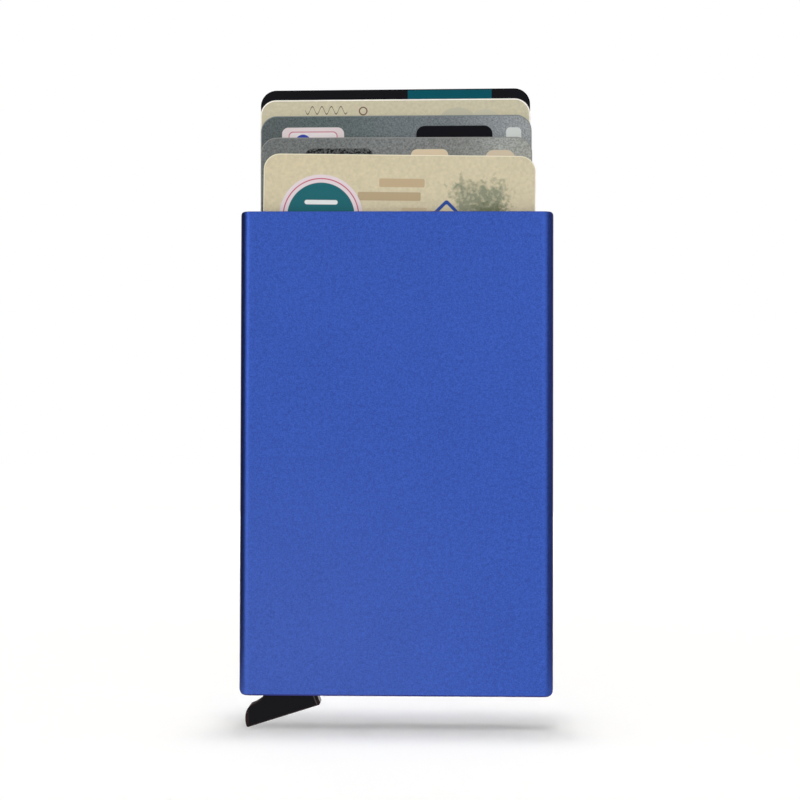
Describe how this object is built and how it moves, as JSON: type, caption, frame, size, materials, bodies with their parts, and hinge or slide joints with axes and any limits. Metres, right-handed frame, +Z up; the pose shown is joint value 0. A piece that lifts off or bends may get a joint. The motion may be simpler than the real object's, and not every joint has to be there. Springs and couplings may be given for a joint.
{
  "type": "pop up card holder",
  "caption": "Slim metal case that holds a stack of cards and fans them out of its mouth when a trigger under it is pressed.",
  "frame": {"origin": "under the middle of the case, at the height of the trigger's toe", "axes": "+Z up to the mouth, +Y from the front face to the back, +X to the right seen from the front"},
  "size_m": [0.062, 0.008, 0.1273],
  "materials": {
    "anodised_aluminium": "blue anodised, bead blasted",
    "black_nylon": "moulded, fine texture",
    "black_acetal": "moulded, satin",
    "steel": "ground",
    "spring_steel": "drawn wire",
    "felt": "pressed felt",
    "card_cream": "laminated print",
    "card_grey": "laminated print",
    "card_black": "laminated print",
    "contact_gold": "plated contacts",
    "stripe_tape": "magnetic tape"
  },
  "bodies": {
    "case": {"case_shell": "anodised_aluminium", "inner_frame": "black_nylon", "pivot_pin": "steel", "return_spring": "spring_steel", "pad_front_upper": "felt", "pad_front_lower": "felt", "pad_rear_upper": "felt", "pad_rear_lower": "felt"},
    "lever": {"ejector_lever": "black_acetal"},
    "card_1": {"card_1": "card_cream"},
    "card_2": {"card_2": "card_grey", "card_2_chip": "contact_gold", "card_2_stripe": "stripe_tape"},
    "card_3": {"card_3": "card_grey", "card_3_chip": "contact_gold", "card_3_stripe": "stripe_tape"},
    "card_4": {"card_4": "card_cream"},
    "card_5": {"card_5": "card_black", "card_5_chip": "contact_gold", "card_5_stripe": "stripe_tape"}
  },
  "joints": [
    {"name": "lever_pivot", "type": "hinge", "parent": "case", "child": "lever", "pos_m": [-0.0265, 0, 0.0105], "axis": [0, -1, 0], "range_deg": [0, 36], "stiffness_Nm_per_rad": 0.02, "springref_deg": -22.92, "deforming": ["return_spring"]},
    {"name": "card_1_slide", "type": "slide", "parent": "case", "child": "card_1", "axis": [0, 0, 1], "range_m": [-0.01184, 0.07614]},
    {"name": "card_2_slide", "type": "slide", "parent": "case", "child": "card_2", "axis": [0, 0, 1], "range_m": [-0.01546, 0.07252]},
    {"name": "card_3_slide", "type": "slide", "parent": "case", "child": "card_3", "axis": [0, 0, 1], "range_m": [-0.01995, 0.06803]},
    {"name": "card_4_slide", "type": "slide", "parent": "case", "child": "card_4", "axis": [0, 0, 1], "range_m": [-0.02334, 0.06464]},
    {"name": "card_5_slide", "type": "slide", "parent": "case", "child": "card_5", "axis": [0, 0, 1], "range_m": [-0.02548, 0.0625]}
  ]
}
